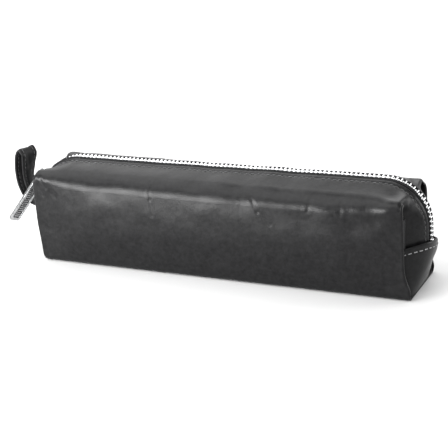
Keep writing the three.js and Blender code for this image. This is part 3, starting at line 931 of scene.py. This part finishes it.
def add_chain_block(parts, s0, s1, y, lift, steps=8, width_at=lambda t: 1.0):
    """A rounded block on the chain from s0 to s1, between y and lift pairs."""
    half_y, half_lift = (y[1] - y[0]) / 2, (lift[1] - lift[0]) / 2
    turns = np.linspace(0, 1, steps + 1)
    ends = np.array([0.0, 0.02, 0.06])
    ts = np.unique(np.concatenate([ends, turns, 1 - ends]))
    rings = []
    for t in ts:
        s = mix(s0, s1, t)
        _, outward = zip_ways(np.array(s))
        edge = min(t, 1 - t) * abs(s1 - s0)
        shrink = 0.3 - 0.3 * math.sqrt(max(0.0, 1 - (1 - min(edge / 0.35, 1)) ** 2))
        section = ring_of(half_y * width_at(t) - shrink, half_lift - shrink * 0.8, 20, 7.0)
        x, z = zip_place(np.array(s), (lift[0] + lift[1]) / 2)
        middle = stack(x, (y[0] + y[1]) / 2, z)
        rings.append(middle + section[:, :1] * np.array([0, 1.0, 0]) + section[:, 1:] * outward)
    parts.loft(np.array(rings))


STOP_Y = 2.9                          # the stops' reach from the middle
STOP_LIFT = (-1.2, 1.2)


def make_stops():
    for side_name, side in SIDES:
        stop = Parts()
        y = (0.5, STOP_Y) if side > 0 else (-STOP_Y, -0.5)
        add_chain_block(stop, -ROW_END_LEFT - 0.7, -ROW_END_LEFT - 3.2, y, STOP_LIFT)
        piece = stop.build(f"{side_name}_upper_stop", TOOTH_METAL)
        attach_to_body(piece, "case")
        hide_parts(f"{side_name}_top_stop")
    stop = Parts()
    add_chain_block(stop, ROW_END_RIGHT + 0.5, ROW_END_RIGHT + 2.4, (-STOP_Y, STOP_Y), STOP_LIFT)
    piece = stop.build("lower_stop", TOOTH_METAL)
    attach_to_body(piece, "case")
    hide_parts("bottom_stop")


PLATE_IN = 1.5
PLATE_OUT = 2.6


def make_slider():
    body = Parts()
    nose, tail = -SLIDER_AT + SLIDER_HALF, -SLIDER_AT - SLIDER_HALF

    def waist(t):
        return 0.8 + 0.2 * float(smooth(t, 0.4, 0.72)) - 0.12 * float(smooth(t, 0.85, 1.0))
    add_chain_block(body, nose, tail, (-4.6, 4.6), (PLATE_IN, PLATE_OUT), 24, waist)
    add_chain_block(body, nose, tail, (-3.0, 3.0), (-PLATE_OUT, -PLATE_IN), 24, waist)
    add_chain_block(body, tail + 2.6, tail + 0.4, (-0.4, 0.4), (-PLATE_IN - 0.3, PLATE_IN + 0.3))
    for y in ((-3.75, -3.1), (3.1, 3.75)):
        add_chain_block(body, nose - 0.6, -SLIDER_AT - 0.6, y, (0.6, PLATE_IN + 0.3), 12)
    slider = body.build("slider_shell", NICKEL)
    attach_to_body(slider, "slider")
    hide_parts("slider_body")

    along, outward = zip_ways(np.array(-SLIDER_AT))
    x, z = zip_place(np.array(-SLIDER_AT))
    heart = stack(x, 0, z)
    half, foot, top = 4.75, PLATE_OUT - 0.2, 6.35
    bend = np.linspace(0, np.pi / 2, 7)
    up = [(-half, foot), (-half, top - 1.2)]
    left = [(-half + 1.2 * (1 - math.cos(a)), top - 1.2 * (1 - math.sin(a))) for a in bend[1:]]
    path = up + left + [(-1.5, top + 0.25), (1.5, top + 0.25)]
    path += [(-s, lift) for s, lift in reversed(up + left)]
    points = np.array([heart + along * s + outward * lift for s, lift in path])
    way = unit(np.gradient(points, axis=0))
    side = np.broadcast_to([0, 1.0, 0], way.shape)
    width = np.array([mix(1.15, 0.62, min((lift - foot) / 2.5, 1)) for _, lift in path])
    bar = Parts()
    add_tube(bar, points, side, np.cross(way, side), width, np.full(len(path), 0.45), 14, 3.0)
    bridge = bar.build("slider_bail", NICKEL)
    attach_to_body(bridge, "slider")
    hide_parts("slider_bridge")


PULL_LENGTH = 35.3
PULL_WIDTH = 6.5
PULL_THICKNESS = 1.6
PULL_WAY = np.array([-21.5, -3.0, -27.8])
PULL_TWIST = math.radians(32)


def rounded_loop(x0, x1, y0, y1, radius):
    points, turns = [], 6
    corners = [(x1 - radius, y1 - radius, 0), (x0 + radius, y1 - radius, 90),
               (x0 + radius, y0 + radius, 180), (x1 - radius, y0 + radius, 270)]
    for x, y, start in corners:
        for turn in range(turns + 1):
            angle = math.radians(start + 90 * turn / turns)
            points.append((x + radius * math.cos(angle), y + radius * math.sin(angle)))
    return points


def plate_mesh(loops, thickness, bevel):
    """A flat plate with holes and rounded edges, round z = 0, as vertices and faces."""
    curve = bpy.data.curves.new("outline", "CURVE")
    curve.dimensions = "2D"
    curve.fill_mode = "BOTH"
    curve.extrude = thickness / 2 - bevel
    curve.bevel_depth = bevel
    curve.bevel_resolution = 3
    curve.offset = -bevel
    for loop in loops:
        spline = curve.splines.new("POLY")
        spline.points.add(len(loop) - 1)
        for point, (x, y) in zip(spline.points, loop):
            point.co = (x, y, 0, 1)
        spline.use_cyclic_u = True
    holder = bpy.data.objects.new("outline", curve)
    bpy.context.scene.collection.objects.link(holder)
    bpy.context.view_layer.update()
    evaluated = holder.evaluated_get(bpy.context.evaluated_depsgraph_get())
    mesh = bpy.data.meshes.new_from_object(evaluated)
    points = [tuple(vertex.co) for vertex in mesh.vertices]
    faces = [tuple(polygon.vertices) for polygon in mesh.polygons]
    bpy.data.objects.remove(holder)
    bpy.data.curves.remove(curve)
    bpy.data.meshes.remove(mesh)
    return points, faces


def make_pull():
    parts = Parts()
    half = PULL_WIDTH / 2
    near, far, recess_half = 10.5, PULL_LENGTH - 2.4, 2.05
    eye = rounded_loop(0.95, 8.3, -1.85, 1.85, 0.9)
    window = rounded_loop(near, far, -recess_half, recess_half, 0.5)
    frame_loops = [rounded_loop(-0.6, PULL_LENGTH, -half, half, 1.2), eye, window]
    parts.add(*plate_mesh(frame_loops, PULL_THICKNESS, 0.22))
    web_half = recess_half + 0.3
    web = rounded_loop(near - 0.3, far + 0.3, -web_half, web_half, 0.5)
    floor = Parts()
    floor.add(*plate_mesh([web], 0.7, 0.05))
    ribs = 15
    for k in range(ribs):
        centre = mix(near + 1, far - 1, k / (ribs - 1))
        rib = rounded_loop(centre - 0.3, centre + 0.3, -1.45, 1.45, 0.28)
        parts.add(*plate_mesh([rib], 1.16, 0.16))
    # The recess floor gets the darker nickel, which is painted shade.
    pull, recess_floor = parts.build("bar_pull", NICKEL), floor.build("bar_pull_recess", PAINTED_SHADE_NICKEL)
    way = Vector(PULL_WAY).normalized()
    across = Vector((0, 1, 0))
    across.rotate(Matrix.Rotation(PULL_TWIST, 3, way))
    across = (across - way * across.dot(way)).normalized()
    face = way.cross(across)
    turn = Matrix((way, across, face)).transposed().to_4x4()
    for piece in (pull, recess_floor):
        piece.data.transform(Matrix.Translation(Vector(joint_place("pull_swing")) * MM) @ turn)
        flat_faces(piece)
        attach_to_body(piece, "pull")
    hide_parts("pull_tab")


def flat_faces(piece):
    """Keeps edges sharp where faces meet at more than 40 degrees."""
    bpy.context.view_layer.objects.active = piece
    piece.select_set(True)
    bpy.ops.object.shade_smooth_by_angle(angle=math.radians(40))
    piece.select_set(False)


# ---- Hanging loop

# The strip's middle line as (x, z): out of the seam, up, over and back down.
LOOP_LINE = [
    (-114.6, 24.8), (-121, 22.8), (-126.5, 24.6), (-130.6, 30), (-132.6, 38), (-132.6, 46), (-131.4, 52),
    (-129.3, 54.6), (-127.6, 52), (-127.8, 45), (-127.9, 38), (-125.8, 31), (-121.5, 26.6), (-114.6, 27.2),
]
LOOP_FRONT_Y = 3.2
LOOP_WIDTHS = (7.0, 9.4)
LOOP_TWIST = math.tan(math.radians(17))
LOOP_HALF_THICKNESS = 0.7


def loop_point(t):
    """Centripetal Catmull-Rom curve through LOOP_LINE, with t from 0 to 1."""
    knots = np.array(LOOP_LINE, float)
    knots = np.vstack([2 * knots[0] - knots[1], knots, 2 * knots[-1] - knots[-2]])
    times = np.concatenate([[0], np.cumsum(np.sqrt(np.linalg.norm(np.diff(knots, axis=0), axis=1)))])
    at = mix(times[1], times[-2], np.clip(t, 0, 1))
    k = np.clip(np.searchsorted(times, at, side="right") - 1, 1, len(knots) - 3)
    t0, t1, t2, t3 = (times[k + d][..., None] for d in (-1, 0, 1, 2))
    p0, p1, p2, p3 = (knots[k + d] for d in (-1, 0, 1, 2))
    a = at[..., None]
    a1 = p0 + (p1 - p0) * (a - t0) / (t1 - t0)
    a2 = p1 + (p2 - p1) * (a - t1) / (t2 - t1)
    a3 = p2 + (p3 - p2) * (a - t2) / (t3 - t2)
    b1 = a1 + (a2 - a1) * (a - t0) / (t2 - t0)
    b2 = a2 + (a3 - a2) * (a - t1) / (t3 - t1)
    return b1 + (b2 - b1) * (a - t1) / (t2 - t1)


def loop_surface(t, w):
    t, w = np.broadcast_arrays(np.asarray(t, float), np.asarray(w, float))
    point = loop_point(t)
    rise = smooth(point[..., 1], 25, 55)
    across = w * mix(*LOOP_WIDTHS, rise)
    return stack(point[..., 0] + across * LOOP_TWIST * rise, LOOP_FRONT_Y + across, point[..., 1])


def wrinkled_loop(t, w):
    point = loop_surface(t, w)
    normal = normals_of(loop_surface, t, w, (0.002, 0.01))
    high = smooth(point[..., 2], 27, 36)
    folds = ripple(np.stack(np.broadcast_arrays(t * 22, w * 7.5, 0 * w), -1), 21, 4.2)
    fine = ripple(np.stack(np.broadcast_arrays(t * 60, w * 10, 0 * w), -1), 22, 3.0)
    return point + normal * (high * (0.16 * folds + 0.05 * fine))[..., None]


def make_loop():
    strip = make_sheet("loop_strip", wrinkled_loop, np.linspace(0, 1, 241), np.linspace(0, 1, 25),
                       (-LOOP_HALF_THICKNESS, LOOP_HALF_THICKNESS), LOOP_SKIN, "v0 v1")
    threads = Parts()
    ts = np.linspace(0, 1, 600)
    path = loop_surface(ts, np.full(600, 0.5))
    run = np.concatenate([[0], np.cumsum(np.linalg.norm(np.diff(path, axis=0), axis=1))])
    for w in (0.14, 0.86):
        for sign in (-1, 1):
            for centre in np.arange(6, run[-1] - 5, STITCH_PITCH * 0.8):
                before, after = np.interp([centre - 1.0, centre + 1.0], run, ts)
                span = np.linspace(before, after, 7)
                points = wrinkled_loop(span, np.full(7, w))
                normal = normals_of(loop_surface, span, np.full(7, w), (0.002, 0.01)) * sign
                add_thread(threads, points, normal, LOOP_HALF_THICKNESS - 0.14, 0.2, 0.2, 6)
    seam = threads.build("loop_stitches", DARK_THREAD)
    for piece in (strip, seam):
        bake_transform(piece)
    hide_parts("hanging_loop")


# ---- Floor, light and camera


def make_floor():
    size = 3.0
    points = [(x * size / MM, y * size / MM, -0.05) for x, y in ((-1, -1), (1, -1), (1, 1), (-1, 1))]
    g = Graph("pale_floor")
    haze = g.noise(0.004, 2)
    color = g.ramp(haze, [(0.3, (0.57, 0.57, 0.57)), (0.7, (0.59, 0.59, 0.59))])
    material = g.finish(color, g.ranged(haze, 0.3, 0.7, 0.75, 0.8), g.bump(haze, 0.01, 0.1),
                        Specular_IOR_Level=0.1)
    floor = new_object("floor", points, [(0, 1, 2, 3)], material)


def area_light(name, place, target, size, energy):
    data = bpy.data.lights.new(name, "AREA")
    data.shape = "RECTANGLE"
    data.size, data.size_y = size
    data.energy = energy
    light = bpy.data.objects.new(name, data)
    bpy.context.scene.collection.objects.link(light)
    light.location = Vector(place)
    light.rotation_mode = "QUATERNION"
    light.rotation_quaternion = (Vector(target) - light.location).to_track_quat("-Z", "Y")


def make_lights():
    area_light("key_front_left", (-0.36, -0.52, 0.13), (-0.05, 0, 0.035), (0.36, 0.22), 7.5)
    area_light("top_back", (-0.15, 0.42, 0.75), (0, 0, 0.03), (1.0, 0.6), 5.6)
    area_light("top_front", (-0.35, -0.30, 0.75), (0, 0, 0.03), (1.0, 0.5), 7.0)
    area_light("right_back", (0.62, 0.34, 0.22), (0.1, 0, 0.03), (0.34, 0.36), 2.6)
    area_light("front_fill", (0.5, -0.9, 0.9), (0, 0, 0), (0.8, 0.8), 5.0)
    area_light("backdrop", (-0.4, 1.15, 0.7), (-0.4, 0.85, 0), (1.8, 0.6), 9.0)
    world = bpy.data.worlds.new("studio")
    world.use_nodes = True
    world.node_tree.nodes["Background"].inputs["Color"].default_value = (1, 1, 1, 1)
    world.node_tree.nodes["Background"].inputs["Strength"].default_value = 0.62
    bpy.context.scene.world = world


def make_camera():
    azimuth, elevation, roll = math.radians(26.306), math.radians(20.388), math.radians(-4.1955)
    distance, target = 0.7161, Vector((-0.001882, 0, 0.02348))
    back = Vector((math.sin(azimuth) * math.cos(elevation), -math.cos(azimuth) * math.cos(elevation),
                   math.sin(elevation)))
    right = (-back).cross(Vector((0, 0, 1))).normalized()
    up = right.cross(-back)
    rolled_right = right * math.cos(roll) + up * math.sin(roll)
    rolled_up = up * math.cos(roll) - right * math.sin(roll)
    data = bpy.data.cameras.new("camera")
    data.lens, data.sensor_width = 108, 36
    data.clip_start, data.clip_end = 0.05, 20
    camera = bpy.data.objects.new("camera", data)
    bpy.context.scene.collection.objects.link(camera)
    axes = Matrix((rolled_right, rolled_up, back)).transposed().to_4x4()
    camera.matrix_world = Matrix.Translation(target + back * distance) @ axes
    bpy.context.scene.camera = camera
    bpy.context.scene.view_settings.view_transform = "Standard"


make_camera()
make_panel()
make_linings()
make_flaps()
make_tapes()
make_flap_linings()
make_chain()
make_zip_stitches()
make_end_pieces()
make_stops()
make_slider()
make_pull()
make_loop()
make_floor()
make_lights()
